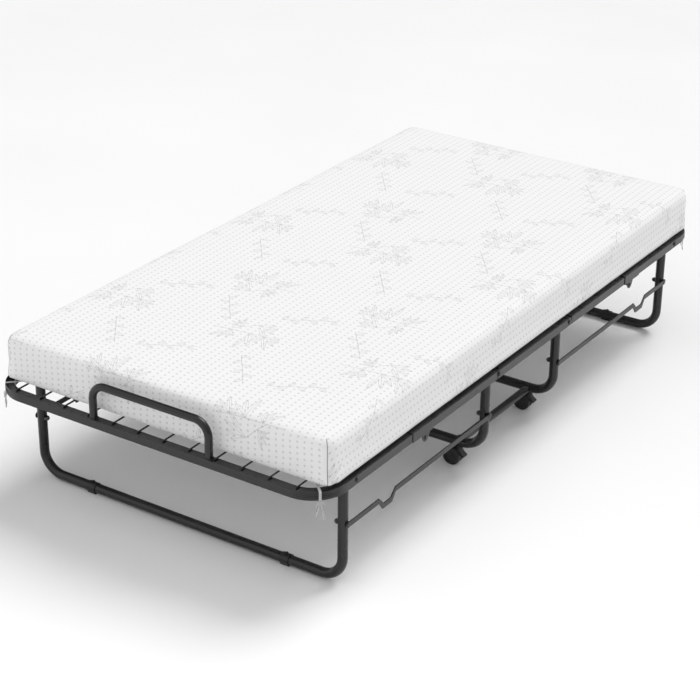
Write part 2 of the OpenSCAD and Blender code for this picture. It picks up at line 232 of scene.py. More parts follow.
def make_floor():
    corners = [(x * FLOOR_HALF, y * FLOOR_HALF, 0) for x, y in ((-1, -1), (1, -1), (1, 1), (-1, 1))]
    floor = mesh_object("floor", corners, [(0, 1, 2, 3)])
    floor.data.materials.append(floor_finish())


# ---- mesh helpers ----

def mesh_object(name, points, faces, smooth=False):
    """An object in the scene, made of points and faces."""
    mesh = bpy.data.meshes.new(name)
    mesh.from_pydata([tuple(p) for p in points], [], faces)
    mesh.validate()
    if smooth:
        mesh.shade_smooth()
    piece = bpy.data.objects.new(name, mesh)
    bpy.context.scene.collection.objects.link(piece)
    return piece


def smooth_path(points, steps):
    """A Catmull-Rom curve through the points, with so many steps between each two."""
    points = [Vector(p) for p in points]
    ends = [points[0] * 2 - points[1]] + points + [points[-1] * 2 - points[-2]]
    path = []
    for i in range(1, len(ends) - 2):
        a, b, c, d = ends[i - 1:i + 3]
        for k in range(steps):
            t = k / steps
            path.append(0.5 * (2 * b + (c - a) * t + (2 * a - 5 * b + 4 * c - d) * t ** 2
                               + (3 * b - a - 3 * c + d) * t ** 3))
    return path + [points[-1]]


def arc(centre, across, along, radius, start, end, steps):
    """Points on a circle in the plane of two directions, between two angles in degrees."""
    centre, across, along = Vector(centre), Vector(across), Vector(along)
    turns = [math.radians(start + (end - start) * i / steps) for i in range(steps + 1)]
    return [centre + radius * (math.cos(a) * across + math.sin(a) * along) for a in turns]


def oval(width, height, count=8):
    """An oval section for sweep."""
    turns = [2 * math.pi * i / count for i in range(count)]
    return [(width / 2 * math.cos(turn), height / 2 * math.sin(turn)) for turn in turns]


def sweep(path, section, facing, closed=False, sizes=None):
    """Points and faces of a section swept along a path. The section's second axis points to facing."""
    path = [Vector(p) for p in path]
    count, around = len(path), len(section)
    points, faces = [], []
    for i, p in enumerate(path):
        ahead = path[(i + 1) % count] if closed or i + 1 < count else p
        behind = path[i - 1] if closed or i else p
        tangent = (ahead - behind).normalized()
        up = Vector(facing(p) if callable(facing) else facing)
        side = tangent.cross(up).normalized()
        up = side.cross(tangent)
        size = sizes[i] if sizes else 1
        points += [p + size * (a * side + b * up) for a, b in section]
    for i in range(count if closed else count - 1):
        j = (i + 1) % count
        for k in range(around):
            m = (k + 1) % around
            faces.append((i * around + k, i * around + m, j * around + m, j * around + k))
    if not closed:
        faces.append(tuple(reversed(range(around))))
        faces.append(tuple(range((count - 1) * around, count * around)))
    return points, faces


def joined(parts):
    """Several lists of points and faces as one."""
    points, faces = [], []
    for more_points, more_faces in parts:
        start = len(points)
        points += more_points
        faces += [tuple(start + i for i in face) for face in more_faces]
    return points, faces


def swept_piece(name, parts, finish, body):
    """One smooth piece made of several sweeps, which rides on a body."""
    piece = mesh_object(name, *joined(parts), smooth=True)
    piece.data.materials.append(finish)
    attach(piece, body)
    return piece


# ---- shader helpers ----

def start_finish(name, **values):
    """A new material, its node tree and its Principled shader, with plain values on the shader."""
    material = bpy.data.materials.new(name)
    material.use_nodes = True
    shader = material.node_tree.nodes["Principled BSDF"]
    for key, value in values.items():
        shader.inputs[key.replace("_", " ")].default_value = value
    return material, material.node_tree, shader


def add(tree, kind, sockets=None, **settings):
    """Adds a node. sockets gives each input a value or another node's output."""
    made = tree.nodes.new("ShaderNode" + kind)
    for key, value in settings.items():
        setattr(made, key, value)
    for key, value in (sockets or {}).items():
        if isinstance(value, bpy.types.NodeSocket):
            tree.links.new(value, made.inputs[key])
        else:
            made.inputs[key].default_value = value
    return made


def calc(tree, operation, *values):
    """A Math node's result."""
    return add(tree, "Math", dict(enumerate(values)), operation=operation).outputs[0]


def dot_product(tree, one, other):
    return add(tree, "VectorMath", {0: one, 1: other}, operation="DOT_PRODUCT").outputs["Value"]


def grain(tree, where, scale, detail, rough=0.5):
    """Noise with so many waves to a metre."""
    found = add(tree, "TexNoise", {"Vector": where, "Scale": scale, "Detail": detail, "Roughness": rough})
    return found.outputs[0]


def spread(tree, value, old, new):
    """Maps a value from the range old to the range new, and keeps it inside new."""
    found = add(tree, "MapRange", {"Value": value, "From Min": old[0], "From Max": old[1],
                                   "To Min": new[0], "To Max": new[1]})
    return found.outputs[0]


def grey(level, blue=None):
    """A grey colour, with a blue part of its own if one is given."""
    return (level, level, level if blue is None else blue, 1)


def blend_colours(tree, share, first, second):
    """Sockets 6 and 7 of the Mix node are its two colours, and output 2 is the blended one."""
    found = add(tree, "Mix", {0: share, 6: first, 7: second}, data_type="RGBA")
    return found.outputs[2]


def bump(tree, shader, height, strength, distance, normal=None):
    """Gives the shader a bumpy normal. distance is the height of the bumps in metres."""
    sockets = {"Height": height, "Strength": strength, "Distance": distance}
    if normal is not None:
        sockets["Normal"] = normal
    tree.links.new(add(tree, "Bump", sockets).outputs[0], shader.inputs["Normal"])


def place_of(tree):
    """The place in the piece's own frame, in metres."""
    return add(tree, "TexCoord").outputs["Object"]


# ---- finishes ----

def powder_coat(name, shade, edge_shade, rough):
    """Black powder coat on steel: orange-peel grain, uneven gloss, edges rubbed a little lighter."""
    material, tree, shader = start_finish(name, IOR=1.5)
    where = place_of(tree)
    tone = grain(tree, where, scale=35, detail=4)
    dark = grey(shade * 0.7, blue=shade * 0.74)
    light = grey(shade * 1.35, blue=shade * 1.4)
    body = blend_colours(tree, tone, dark, light)
    rounded = add(tree, "Bevel", {"Radius": EDGE_RADIUS}, samples=4).outputs[0]
    flat = add(tree, "NewGeometry").outputs["Normal"]
    edge = spread(tree, dot_product(tree, rounded, flat), (0.995, 0.90), (0, 1))
    patches = spread(tree, grain(tree, where, scale=140, detail=3), (0.35, 0.65), (0.15, 1))
    rubbed = calc(tree, "MULTIPLY", edge, patches)
    wear = grey(edge_shade, blue=edge_shade * 1.03)
    tree.links.new(blend_colours(tree, rubbed, body, wear), shader.inputs["Base Color"])
    gloss = spread(tree, grain(tree, where, scale=9, detail=3), (0.3, 0.7), (rough - 0.05, rough + 0.07))
    tree.links.new(gloss, shader.inputs["Roughness"])
    coarse = calc(tree, "MULTIPLY", grain(tree, where, scale=320, detail=2), 1.6)
    peel = calc(tree, "ADD", grain(tree, where, scale=1100, detail=1), coarse)
    bump(tree, shader, peel, strength=0.25, distance=0.0002, normal=rounded)
    return material


def bare_nut_steel():
    """Zinc-plated steel gone dull, with fine turning lines."""
    material, tree, shader = start_finish("nut_steel", Metallic=1.0)
    where = place_of(tree)
    stretched = add(tree, "Mapping", {"Vector": where, "Scale": (1, 14, 14)}).outputs[0]
    lines = grain(tree, stretched, scale=160, detail=3)
    colour = blend_colours(tree, lines, grey(0.055, blue=0.058), grey(0.13, blue=0.135))
    tree.links.new(colour, shader.inputs["Base Color"])
    tree.links.new(spread(tree, lines, (0.3, 0.7), (0.28, 0.46)), shader.inputs["Roughness"])
    bump(tree, shader, lines, strength=0.2, distance=0.0001)
    return material


def moulded_plastic(name, shade, rough):
    """Black moulded plastic with a fine spark-eroded grain and faint flow marks."""
    material, tree, shader = start_finish(name, IOR=1.46)
    where = place_of(tree)
    flow = grain(tree, where, scale=26, detail=4)
    dark = grey(shade * 0.7, blue=shade * 0.72)
    light = grey(shade * 1.35, blue=shade * 1.38)
    tree.links.new(blend_colours(tree, flow, dark, light), shader.inputs["Base Color"])
    gloss = spread(tree, flow, (0.3, 0.7), (rough - 0.06, rough + 0.08))
    tree.links.new(gloss, shader.inputs["Roughness"])
    pits = add(tree, "TexVoronoi", {"Vector": where, "Scale": 1500}).outputs["Distance"]
    bump(tree, shader, pits, strength=0.3, distance=0.0002)
    return material


def wheel_plastic():
    """Wheels: hard grey-black tread with scuffs and a little dust."""
    material, tree, shader = start_finish("wheel_tread", IOR=1.5)
    where = place_of(tree)
    scuff = grain(tree, where, scale=130, detail=5, rough=0.7)
    dust = spread(tree, grain(tree, where, scale=45, detail=4), (0.52, 0.75), (0, 0.5))
    worn = blend_colours(tree, scuff, grey(0.006, blue=0.007), grey(0.018, blue=0.019))
    dusty = blend_colours(tree, dust, worn, (0.035, 0.034, 0.032, 1))
    tree.links.new(dusty, shader.inputs["Base Color"])
    tree.links.new(spread(tree, scuff, (0.3, 0.7), (0.34, 0.55)), shader.inputs["Roughness"])
    bump(tree, shader, scuff, strength=0.25, distance=0.0002)
    return material


def tape_cotton_painted_shade():
    """White cotton tape: a plain weave, slightly uneven; its white is painted down to mid-grey as painted
    shade for the shade the ties hang in.
    """
    material, tree, shader = start_finish("tie_tape", Roughness=0.9, Sheen_Weight=0.25,
                                          Sheen_Roughness=0.5)
    where = place_of(tree)
    weave = add(tree, "TexChecker", {"Vector": where, "Scale": 1600}).outputs["Fac"]
    thread = grain(tree, where, scale=700, detail=2)
    share = calc(tree, "ADD", calc(tree, "MULTIPLY", weave, 0.35), calc(tree, "MULTIPLY", thread, 0.5))
    # Painted shade: the white tape's colour is set to mid-grey for the shade the ties hang in; the weave
    # and thread make it uneven.
    colour = blend_colours(tree, share, grey(0.40, blue=0.39), grey(0.66, blue=0.65))
    tree.links.new(colour, shader.inputs["Base Color"])
    bump(tree, shader, share, strength=0.6, distance=0.0003)
    return material


def seam_thread():
    """Grey piping along a mattress corner, twisted from two threads."""
    material, tree, shader = start_finish("seam_thread", Roughness=0.85, Sheen_Weight=0.3)
    where = place_of(tree)
    twist = add(tree, "TexWave", {"Vector": where, "Scale": 260, "Distortion": 1.5},
                bands_direction="DIAGONAL").outputs["Fac"]
    tree.links.new(blend_colours(tree, twist, grey(0.10), grey(0.22)), shader.inputs["Base Color"])
    bump(tree, shader, twist, strength=0.6, distance=0.0004)
    return material


def floor_finish():
    """Pale studio floor: a soft sheen, with a very faint unevenness."""
    material, tree, shader = start_finish("floor", IOR=1.4)
    where = place_of(tree)
    tone = grain(tree, where, scale=1.2, detail=3)
    tree.links.new(blend_colours(tree, tone, grey(0.91), grey(0.93)), shader.inputs["Base Color"])
    tree.links.new(spread(tree, tone, (0.3, 0.7), (0.34, 0.40)), shader.inputs["Roughness"])
    return material


# ---- the cover's knit ----

def local_place(tree, place, x, y, turn):
    """Two sockets: the place along and across a direction, from a starting point."""
    moved = {"Vector": place, "Location": (x, y, 0), "Rotation": (0, 0, math.radians(turn))}
    local = add(tree, "Mapping", moved, vector_type="TEXTURE").outputs[0]
    parts = add(tree, "SeparateXYZ", {0: local})
    return parts.outputs[0], parts.outputs[1]


def length_of(tree, one, other):
    """How far a place is from the middle, from its two parts."""
    squares = calc(tree, "ADD", calc(tree, "MULTIPLY", one, one), calc(tree, "MULTIPLY", other, other))
    return calc(tree, "SQRT", squares)


def between(tree, value, low, high):
    """1 where the value is between the two limits, and 0 elsewhere."""
    above = calc(tree, "GREATER_THAN", value, low)
    return calc(tree, "MULTIPLY", above, calc(tree, "LESS_THAN", value, high))


def leaf(tree, along, across, length, half):
    """A leaf's outline and its middle vein: 1 on a line, 0 beside it."""
    part = calc(tree, "DIVIDE", along, length)
    safe = calc(tree, "MINIMUM", calc(tree, "MAXIMUM", part, 0.0), 1.0)
    belly = calc(tree, "MULTIPLY", safe, calc(tree, "SUBTRACT", 1.0, safe))
    width = calc(tree, "MULTIPLY", calc(tree, "POWER", belly, LEAF_CURVE), half * 4 ** LEAF_CURVE)
    aside = calc(tree, "ABSOLUTE", across)
    half_width = calc(tree, "MAXIMUM", calc(tree, "MULTIPLY", width, 0.5), 0.0001)
    on_line = calc(tree, "LESS_THAN", calc(tree, "PINGPONG", aside, half_width), LINE / 2)
    drawn = calc(tree, "MULTIPLY", on_line, between(tree, part, 0.0, 1.0))
    inside = calc(tree, "LESS_THAN", aside, calc(tree, "ADD", width, LINE / 2))
    return calc(tree, "MULTIPLY", drawn, inside)


def stalk(tree, place, x, y, turn, length):
    """A straight stalk, a little thicker than a leaf's lines."""
    along, across = local_place(tree, place, x, y, turn)
    half = LINE * 0.6
    return calc(tree, "MULTIPLY", between(tree, along, 0.0, length), between(tree, across, -half, half))


def fan(tree, place, x, y, turn, size):
    """Four narrow leaves that hang from one point, each shorter than the one before it."""
    along, across = local_place(tree, place, x, y, turn)
    step = math.radians(FAN_STEP)
    far = length_of(tree, along, across)
    angle = calc(tree, "ARCTAN2", across, along)
    index = calc(tree, "ROUND", calc(tree, "DIVIDE", angle, step))
    off = calc(tree, "SUBTRACT", angle, calc(tree, "MULTIPLY", index, step))
    shorter = calc(tree, "MULTIPLY", index, FAN_SHORTER)
    length = calc(tree, "MULTIPLY", calc(tree, "ADD", shorter, 1.0), LEAF_L * size)
    drawn = leaf(tree, calc(tree, "MULTIPLY", far, calc(tree, "COSINE", off)),
                 calc(tree, "MULTIPLY", far, calc(tree, "SINE", off)), length, LEAF_HALF * size)
    return calc(tree, "MULTIPLY", drawn, between(tree, index, -1.5, 2.5))


def draw_sprig(tree, place):
    """A large sprig: a stalk with a side twig, and hanging bunches of leaves along both."""
    drawn = calc(tree, "MAXIMUM", stalk(tree, place, -0.085, 0.030, -8, 0.150),
                 stalk(tree, place, -0.040, 0.024, 34, 0.080))
    for x, y, turn, size in ((0.062, 0.010, -48, 1.0), (0.020, 0.015, -74, 1.2), (-0.028, 0.022, -112, 0.9),
                             (0.026, 0.068, -36, 1.1), (-0.012, 0.042, 118, 0.7)):
        drawn = calc(tree, "MAXIMUM", drawn, fan(tree, place, x, y, turn, size))
    return drawn


def draw_spray(tree, place):
    """A thin stalk with small leaves, in turn on one side and the other."""
    along, across = local_place(tree, place, -SPRAY_L / 2, 0, 0)
    pitch = SPRAY_L / SPRAY_LEAVES
    index = calc(tree, "FLOOR", calc(tree, "DIVIDE", along, pitch))
    odd = calc(tree, "FLOORED_MODULO", index, 2.0)
    side = calc(tree, "SUBTRACT", 1.0, calc(tree, "MULTIPLY", odd, 2.0))
    u = calc(tree, "SUBTRACT", along, calc(tree, "MULTIPLY", index, pitch))
    v = calc(tree, "MULTIPLY", across, side)
    slant = math.radians(SPRAY_SLANT)
    ahead, aside = math.cos(slant), math.sin(slant)
    leaf_along = calc(tree, "ADD", calc(tree, "MULTIPLY", u, ahead), calc(tree, "MULTIPLY", v, aside))
    leaf_across = calc(tree, "SUBTRACT", calc(tree, "MULTIPLY", v, ahead), calc(tree, "MULTIPLY", u, aside))
    drawn = leaf(tree, leaf_along, leaf_across, LEAF_L * SPRAY_LEAF, LEAF_HALF)
    drawn = calc(tree, "MULTIPLY", drawn, between(tree, index, -0.5, SPRAY_LEAVES - 0.5))
    return calc(tree, "MAXIMUM", drawn, stalk(tree, place, -SPRAY_L / 2, 0, 0, SPRAY_L))


def drawing(name, draw):
    """A node group round a drawing. In: a place in metres. Out: 1 on a line, 0 beside it."""
    tree = bpy.data.node_groups.new(name, "ShaderNodeTree")
    tree.interface.new_socket("Place", in_out="INPUT", socket_type="NodeSocketVector")
    tree.interface.new_socket("Line", in_out="OUTPUT", socket_type="NodeSocketFloat")
    place = tree.nodes.new("NodeGroupInput").outputs[0]
    tree.links.new(draw(tree, place), tree.nodes.new("NodeGroupOutput").inputs[0])
    return tree


def repeated(tree, place, group, at, turn):
    """The group's drawing, once in each repeat of the pattern, at a place in it and turned."""
    moved = add(tree, "VectorMath", {0: place, 1: (REPEAT_U / 2 - at[0], REPEAT_V / 2 - at[1], 0)},
                operation="ADD").outputs[0]
    cell = add(tree, "VectorMath", {0: moved, 1: (REPEAT_U, REPEAT_V, 1)}, operation="WRAP")
    cell.inputs[2].default_value = (0, 0, 0)
    centred = add(tree, "VectorMath", {0: cell.outputs[0], 1: (REPEAT_U / 2, REPEAT_V / 2, 0)},
                  operation="SUBTRACT").outputs[0]
    turned = add(tree, "Mapping", {"Vector": centred, "Rotation": (0, 0, math.radians(turn))},
                 vector_type="TEXTURE").outputs[0]
    made = tree.nodes.new("ShaderNodeGroup")
    made.node_tree = group
    tree.links.new(turned, made.inputs[0])
    return made.outputs[0]


def dots(tree, place):
    """Small woven-in eyelets on a slanting lattice."""
    lattice = {"Vector": place, "Rotation": (0, 0, math.radians(DOT_TURN)), "Scale": (DOT_U, DOT_V, 1)}
    turned = add(tree, "Mapping", lattice, vector_type="TEXTURE").outputs[0]
    parts = add(tree, "SeparateXYZ", {0: turned})
    row = calc(tree, "FLOOR", parts.outputs[1])
    shifted = calc(tree, "ADD", parts.outputs[0], calc(tree, "MULTIPLY", row, DOT_ROW_SHIFT))
    in_u = calc(tree, "SUBTRACT", calc(tree, "FRACT", shifted), 0.5)
    in_v = calc(tree, "SUBTRACT", calc(tree, "FRACT", parts.outputs[1]), 0.5)
    far = length_of(tree, calc(tree, "MULTIPLY", in_u, DOT_U), calc(tree, "MULTIPLY", in_v, DOT_V))
    return spread(tree, far, (DOT_CORE, DOT_RIM), (1, 0))


def cover_knit():
    """White stretch knit with eyelets, and sprigs of leaves drawn in grey thread."""
    material, tree, shader = start_finish("cover_fabric", Roughness=0.92, Sheen_Weight=0.3,
                                          Sheen_Roughness=0.45, IOR=1.35)
    place = add(tree, "UVMap", uv_map="cloth").outputs[0]
    eyelets = dots(tree, place)
    sprig, spray = drawing("sprig", draw_sprig), drawing("spray", draw_spray)
    drawn = repeated(tree, place, sprig, (0.0, 0.0), 15)
    # Each drawing with its place in the repeat and its turn in degrees.
    others = [(sprig, (-0.12, 0.30), 190), (spray, (0.10, 0.17), 30), (spray, (-0.12, 0.12), 128),
              (spray, (0.12, -0.15), -52), (spray, (-0.11, -0.15), 30)]
    for group, at, turn in others:
        drawn = calc(tree, "MAXIMUM", drawn, repeated(tree, place, group, at, turn))
    parts = add(tree, "SeparateXYZ", {0: place})
    wales = calc(tree, "SINE", calc(tree, "MULTIPLY", parts.outputs[0], 2 * math.pi / WALE))
    courses = calc(tree, "SINE", calc(tree, "MULTIPLY", parts.outputs[1], 2 * math.pi / COURSE))
    loops = calc(tree, "MULTIPLY", wales, courses)
    tone = grain(tree, place, scale=7, detail=3)
    cloth = blend_colours(tree, tone, grey(0.80), grey(0.83, blue=0.828))
    fluffed = blend_colours(tree, spread(tree, loops, (-1, 1), (0, 0.12)), cloth, grey(0.70))
    eyed = blend_colours(tree, calc(tree, "MULTIPLY", eyelets, 0.55), fluffed, grey(0.46))
    lined = blend_colours(tree, calc(tree, "MULTIPLY", drawn, 0.66), eyed, grey(0.33, blue=0.335))
    tree.links.new(lined, shader.inputs["Base Color"])
    height = calc(tree, "ADD", calc(tree, "MULTIPLY", loops, 0.12), calc(tree, "MULTIPLY", eyelets, -0.9))
    height = calc(tree, "ADD", height, calc(tree, "MULTIPLY", drawn, -0.5))
    bump(tree, shader, height, strength=0.35, distance=0.0006)
    return material


# ---- the ties' tails, which are cords ----

def at_corner(end, side, out, along, up):
    """A point given in a corner's own frame: outwards from the middle of the rail, along the rail, up."""
    turn = math.radians(45)
    x = RAIL_OUT - CORNER_R + (CORNER_MID_R + out) * math.cos(turn) - along * math.sin(turn)
    y = RAIL_END - CORNER_R + (CORNER_MID_R + out) * math.sin(turn) + along * math.cos(turn)
    return Vector((x * SIDES[side], y * ENDS[end], up))


def make_tail(letter, route, end, side, finish):
    """One loose end of a tie, as a cord that leaves the knot downwards."""
    rough = [at_corner(end, side, KNOT_X + TAIL_OUT + x / 1000, y / 1000, TAIL_TOP + z / 1000)
             for x, y, z in route]
    path = smooth_path(rough, 4)
    data = bpy.data.curves.new(f"tail_{letter}_{end}_{side}", "CURVE")
    data.dimensions = "3D"
    data.bevel_depth = TAIL_D / 2
    data.bevel_resolution = 3
    data.use_fill_caps = True
    line = data.splines.new("POLY")
    line.points.add(len(path) - 1)
    for spot, p in zip(line.points, path):
        spot.co = (*p, 1)
    tail = bpy.data.objects.new(data.name, data)
    bpy.context.scene.collection.objects.link(tail)
    data.materials.append(finish)
    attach(tail, f"{end}_half")
    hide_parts(f"tie_tail_{letter}_{end}_{side}")


def make_tails(finish):
    for end in ENDS:
        for side in SIDES:
            make_tail("a", TAIL_A, end, side, finish)
            make_tail("b", TAIL_B, end, side, finish)


# ---- ties ----

def tape_section(width, thick):
    """A flat tape's section with soft selvedges."""
    w, t = width / 2, thick / 2
    return [(-w, 0), (-w * 0.9, t * 0.9), (-w * 0.4, t), (w * 0.4, t), (w * 0.9, t * 0.9),
            (w, 0), (w * 0.9, -t * 0.9), (w * 0.4, -t), (-w * 0.4, -t), (-w * 0.9, -t * 0.9)]


def band_path(end, side):
    """A closed loop of tape round the square tube, in the plane across it."""
    half, r = RAIL_SIDE / 2 + TAPE_RISE, BAND_BEND_R
    path = []
    for a, x, z in ((0, 1, 1), (90, -1, 1), (180, -1, -1), (270, 1, -1)):
        for k in range(5):
            turn = math.radians(a + 90 * k / 4)
            out = x * (half - r) + r * math.cos(turn)
            up = RAIL_MID_Z + z * (half - r) + r * math.sin(turn)
            path.append(at_corner(end, side, out, 0, up))
    return path


def knot_ring(end, side):
    """The knot, as one thick turn of tape that lies level."""
    line = []
    for turn in np.linspace(0, 2 * math.pi, 13)[:-1]:
        out = KNOT_X + KNOT_HALF_OUT * math.cos(turn)
        line.append(at_corner(end, side, out, KNOT_HALF_ALONG * math.sin(turn), KNOT_Z))
    return sweep(line, oval(*KNOT_SECTION), (0, 0, 1), closed=True)


def bow_loop(end, side, way, drop):
    """A loop of the bow, to one way along the rail, which hangs down to a little below drop."""
    loop = [(0.001, 0.001, 0.0), (0.003, 0.005, 0.001), (0.005, 0.009, -0.003), (0.006, 0.009, -drop),
            (0.005, 0.006, -drop - 0.003), (0.003, 0.002, -0.004), (0.001, 0.001, -0.001)]
    line = smooth_path([at_corner(end, side, KNOT_X + x, y * way, KNOT_Z + z) for x, y, z in loop], 5)
    return sweep(line, oval(*BOW_SECTION), lambda p: (p.x * 0.3, p.y * 0.3, 1.0))


def make_tie(end, side, finish):
    """The strap from the mattress, the band round the rail, the knot and the two loops of its bow."""
    middle = at_corner(end, side, 0, 0, RAIL_MID_Z)
    band_section = tape_section(TAPE_WIDTH, BAND_THICK)
    band = sweep(band_path(end, side), band_section, lambda p: p - middle, closed=True)
    top = RAIL_TOP + TAPE_RISE
    strap_line = [at_corner(end, side, out, 0, top) for out in np.linspace(STRAP_START, STRAP_END, 8)]
    strap = sweep(strap_line, tape_section(TAPE_WIDTH, STRAP_THICK), (0, 0, 1))
    parts = [band, strap, knot_ring(end, side)]
    parts += [bow_loop(end, side, way, drop) for way, drop in BOW_DROPS]
    tie = swept_piece(f"tie_{end}_{side}", parts, finish, f"{end}_half")
    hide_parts(f"mattress_tie_{end}_{side}")


# ---- mattress ----

def is_level(edge):
    return abs(edge.verts[0].co.z - edge.verts[1].co.z) < 1e-6


def rounded_block():
    """The foam block before it swells: rounded corners in plan and soft top and bottom edges."""
    build = bmesh.new()
    bmesh.ops.create_cube(build, size=1)
    size = (2 * (MATTRESS_HALF_W - SWELL), MATTRESS_REAR - MATTRESS_FRONT - 2 * SWELL,
            MATTRESS_HIGH - MATTRESS_LOW - SWELL)
    bmesh.ops.scale(build, vec=size, verts=build.verts)
    bmesh.ops.translate(build, vec=(0, (MATTRESS_FRONT + MATTRESS_REAR) / 2, MATTRESS_LOW + size[2] / 2),
                        verts=build.verts)
    upright = [e for e in build.edges if not is_level(e)]
    bmesh.ops.bevel(build, geom=upright, offset=MATTRESS_CORNER_R, segments=6, profile=0.5, affect="EDGES")
    middle = (MATTRESS_LOW + MATTRESS_HIGH) / 2
    for at_top, radius in ((True, MATTRESS_EDGE_R), (False, MATTRESS_FOOT_R)):
        level = [e for e in build.edges if is_level(e) and (e.verts[0].co.z > middle) == at_top]
        rim = [e for e in level if len(e.link_faces) == 2 and e.calc_face_angle() > 1]
        bmesh.ops.bevel(build, geom=rim, offset=radius, segments=5, profile=0.5, affect="EDGES")
    mesh = bpy.data.meshes.new("mattress")
    build.to_mesh(mesh)
    build.free()
    block = bpy.data.objects.new("mattress", mesh)
    bpy.context.scene.collection.objects.link(block)
    return block


def apply_modifier(piece, kind, **settings):
    modifier = piece.modifiers.new(kind, kind)
    for key, value in settings.items():
        setattr(modifier, key, value)
    bpy.context.view_layer.objects.active = piece
    bpy.ops.object.modifier_apply(modifier=modifier.name)


def mesh_points(mesh):
    points = np.zeros(len(mesh.vertices) * 3, np.float32)
    mesh.vertices.foreach_get("co", points)
    return points.reshape(-1, 3)


def inflate(piece):
    """Blows the cover up against its own cloth, with no move larger than the swell."""
    modifier = piece.modifiers.new("cloth", "CLOTH")
    modifier.settings.use_pressure = True
    modifier.settings.uniform_pressure_force = CLOTH_PRESSURE
    modifier.settings.tension_stiffness = CLOTH_TENSION
    modifier.settings.bending_stiffness = CLOTH_BENDING
    modifier.settings.effector_weights.gravity = 0
    modifier.point_cache.frame_start = 1
    modifier.point_cache.frame_end = CLOTH_STEPS
    before = mesh_points(piece.data)
    for step in range(1, CLOTH_STEPS + 1):
        bpy.context.scene.frame_set(step)
    blown = piece.evaluated_get(bpy.context.evaluated_depsgraph_get())
    moved = mesh_points(blown.data) - before
    piece.modifiers.remove(modifier)
    bpy.context.scene.frame_set(1)
    far = np.linalg.norm(moved, axis=1, keepdims=True)
    moved *= np.minimum(1, SWELL / np.maximum(far, 1e-9))
    piece.data.vertices.foreach_set("co", (before + moved).astype(np.float32).ravel())
    piece.data.update()


def ramp(values):
    """Rises smoothly from 0 to 1 as the values do, and stays level outside them."""
    part = np.clip(values, 0, 1)
    return part ** 2 * (3 - 2 * part)


def fold_relief(points):
    """How far the underside is hollowed at the two folds, away from the edges."""
    off = np.clip((np.abs(points[:, 1]) - FOLD_Y) / FOLD_REACH, -1, 1)
    inside = ramp((MATTRESS_HALF_W - RELIEF_INSET - np.abs(points[:, 0])) / RELIEF_EDGE)
    low = np.clip(1 - (points[:, 2] - MATTRESS_LOW) / RELIEF_HEIGHT, 0, 1)
    return RELIEF * (1 - off ** 2) ** 1.5 * inside * low


def spread_foot(points):
    """The foam's own weight squares its lower edge, and lets the long sides down onto the rails."""
    middle, half = (MATTRESS_FRONT + MATTRESS_REAR) / 2, (MATTRESS_REAR - MATTRESS_FRONT) / 2
    low = ramp(1 - (points[:, 2] - MATTRESS_LOW) / FOOT_HEIGHT)
    beside = ramp((np.abs(points[:, 0]) - MATTRESS_HALF_W + FOOT_BAND) / FOOT_EASE)
    beyond = ramp((np.abs(points[:, 1] - middle) - half + FOOT_BAND) / FOOT_EASE)
    shift = np.zeros_like(points)
    shift[:, 0] = np.sign(points[:, 0]) * FOOT_OUT * low * beside
    shift[:, 1] = np.sign(points[:, 1] - middle) * FOOT_OUT * low * beyond
    shift[:, 2] = -FOOT_DOWN * low * beside
    return shift


def settle(mesh):
    """Scales the block to the mattress's size, then gives it a slow unevenness of the foam, a flat
    underside, a spread lower edge that reaches a little past that size, and the hollows at the folds.
    """
    points = mesh_points(mesh)
    wanted_low = np.array([-MATTRESS_HALF_W, MATTRESS_FRONT, MATTRESS_LOW])
    wanted_high = np.array([MATTRESS_HALF_W, MATTRESS_REAR, MATTRESS_HIGH + 0.001])
    low, high = points.min(0), points.max(0)
    points = wanted_low + (points - low) * (wanted_high - wanted_low) / (high - low)
    for p in points:
        p[2] += UNEVEN * noise.noise(Vector((p[0] * 5, p[1] * 5, p[2] * 8)))
    flat = MATTRESS_LOW + FLAT_BELOW
    points[:, 2] = np.where(points[:, 2] < flat, MATTRESS_LOW, points[:, 2])
    points += spread_foot(points)
    points[:, 2] += fold_relief(points)
    mesh.vertices.foreach_set("co", points.astype(np.float32).ravel())
    mesh.update()


def half_of(block, end):
    """A copy of the mattress cut at the middle, which keeps one end."""
    build = bmesh.new()
    build.from_mesh(block.data)
    bmesh.ops.bisect_plane(build, geom=build.verts[:] + build.edges[:] + build.faces[:], plane_co=(0, 0, 0),
                           plane_no=(0, ENDS[end], 0), clear_inner=True, dist=1e-6)
    mesh = bpy.data.meshes.new(f"mattress_cover_{end}")
    build.to_mesh(mesh)
    build.free()
    mesh.shade_smooth()
    half = bpy.data.objects.new(mesh.name, mesh)
    bpy.context.scene.collection.objects.link(half)
    return half


def unfold_cloth(mesh):
    """A UV map in metres: the top as it lies, and each side folded out from its own edge."""
    points = mesh_points(mesh)
    layer = mesh.uv_layers.new(name="cloth")
    normals = np.zeros(len(mesh.polygons) * 3, np.float32)
    mesh.polygons.foreach_get("normal", normals)
    normals = normals.reshape(-1, 3)
    face_of = np.repeat(np.arange(len(mesh.polygons)), [len(f.vertices) for f in mesh.polygons])
    corner = np.zeros(len(mesh.loops), np.int32)
    mesh.loops.foreach_get("vertex_index", corner)
    at, faces = points[corner], normals[face_of]
    drop = MATTRESS_HIGH - at[:, 2]
    on_side = np.abs(faces[:, 0]) >= np.abs(faces[:, 1])
    upright = np.abs(faces[:, 2]) < 0.999
    sideways = on_side & upright & (np.abs(at[:, 0]) > MATTRESS_HALF_W - SIDE_BAND)
    near_end = (at[:, 1] < MATTRESS_FRONT + SIDE_BAND) | (at[:, 1] > MATTRESS_REAR - SIDE_BAND)
    endways = ~on_side & upright & near_end
    u = at[:, 0] + np.where(sideways, np.sign(at[:, 0]) * drop, 0)
    v = at[:, 1] + np.where(endways, np.sign(at[:, 1]) * drop, 0)
    layer.data.foreach_set("uv", np.stack([u, v], 1).astype(np.float32).ravel())


